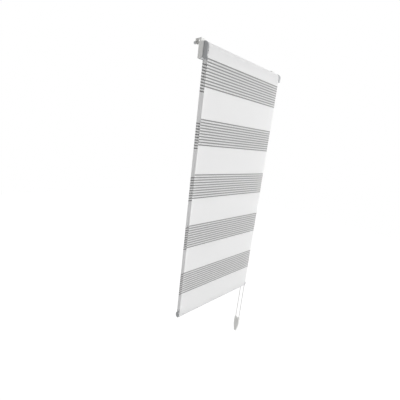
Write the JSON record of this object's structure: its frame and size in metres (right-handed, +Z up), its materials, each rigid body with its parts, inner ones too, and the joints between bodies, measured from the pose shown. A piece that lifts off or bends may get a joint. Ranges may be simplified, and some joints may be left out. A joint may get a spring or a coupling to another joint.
{
  "type": "double roller blind",
  "caption": "Clamp-on double roller blind: cloth with sheer and solid bands in two hanging layers, bead-chain drive, hollow bottom bar and hook clamps for a window sash.",
  "frame": {"origin": "middle of the blind's overall width, on the sash's top edge at its room face", "axes": "+X across the blind to the chain side, +Y from the room to the window, +Z up"},
  "size_m": [0.4454, 0.0738, 1.2386],
  "materials": {
    "white_plastic": "moulded, fine satin",
    "grey_plastic": "moulded",
    "cloth": "woven polyester, solid and see-through bands",
    "aluminium": "extruded, satin",
    "steel": "zinc plated",
    "white_steel": "white powder coat on steel",
    "spring_steel": "drawn wire",
    "soft_pad": "soft, matt",
    "chain_plastic": "smooth beads on a thread",
    "clear_plastic": "clear"
  },
  "bodies": {
    "frame": {"bracket_left": "white_plastic", "bracket_right": "white_plastic", "clamp_hook_left": "white_steel", "clamp_hook_right": "white_steel", "hook_rivet_left": "steel", "hook_rivet_right": "steel", "idler_housing": "grey_plastic", "drive_core": "grey_plastic", "chain_guard": "grey_plastic", "back_rail": "aluminium", "hem_strip": "white_plastic", "front_sheet": "cloth", "back_sheet": "cloth", "chain_over": "chain_plastic", "chain_front": "chain_plastic", "chain_rear": "chain_plastic", "chain_bottom": "chain_plastic", "chain_connector": "clear_plastic", "chain_weight_left": "white_plastic", "chain_weight_right": "white_plastic"},
    "roller": {"roller_tube": "aluminium", "fabric_spline": "white_plastic", "fabric_roll": "cloth", "idler_plug": "grey_plastic", "idler_spring": "spring_steel", "tube_adapter": "grey_plastic", "chain_sprocket": "grey_plastic", "brake_spring_inner": "spring_steel", "brake_spring_outer": "spring_steel"},
    "idler_pin": {"idler_pin": "steel"},
    "bottom_bar": {"bottom_bar": "aluminium", "bottom_cap_left": "grey_plastic", "bottom_cap_right": "grey_plastic", "bottom_loop": "cloth"},
    "clamp_pad_left": {"clamp_pad_left": "soft_pad"},
    "clamp_screw_left": {"clamp_screw_left": "steel"},
    "clamp_pad_right": {"clamp_pad_right": "soft_pad"},
    "clamp_screw_right": {"clamp_screw_right": "steel"}
  },
  "joints": [
    {"name": "roller_turn", "type": "hinge", "parent": "frame", "child": "roller", "pos_m": [0, -0.0225, -0.028], "axis": [-1, 0, 0], "range_deg": [0, 5829]},
    {"name": "bar_lift", "type": "slide", "parent": "frame", "child": "bottom_bar", "axis": [0, 0, 1], "range_m": [0, 0.8801], "deforming": ["front_sheet", "back_sheet"]},
    {"name": "idler_pin_slide", "type": "slide", "parent": "roller", "child": "idler_pin", "axis": [1, 0, 0], "range_m": [0, 0.005], "stiffness_N_per_m": 300, "springref_m": -0.005, "deforming": ["idler_spring"]},
    {"name": "clamp_slide_left", "type": "slide", "parent": "frame", "child": "clamp_pad_left", "axis": [0, 1, 0], "range_m": [-0.0049, 0.0019]},
    {"name": "clamp_turn_left", "type": "hinge", "parent": "clamp_pad_left", "child": "clamp_screw_left", "pos_m": [-0.2097, 0.02, -0.008], "axis": [0, 1, 0], "range_deg": [-2521, 978]},
    {"name": "clamp_slide_right", "type": "slide", "parent": "frame", "child": "clamp_pad_right", "axis": [0, 1, 0], "range_m": [-0.0049, 0.0019]},
    {"name": "clamp_turn_right", "type": "hinge", "parent": "clamp_pad_right", "child": "clamp_screw_right", "pos_m": [0.2097, 0.02, -0.008], "axis": [0, 1, 0], "range_deg": [-2521, 978]}
  ],
  "couplings": [
    {"joint": "bar_lift", "follows": "roller_turn", "m_per_rad": 0.00865},
    {"joint": "clamp_turn_left", "follows": "clamp_slide_left", "rad_per_m": 8976},
    {"joint": "clamp_turn_right", "follows": "clamp_slide_right", "rad_per_m": 8976}
  ]
}
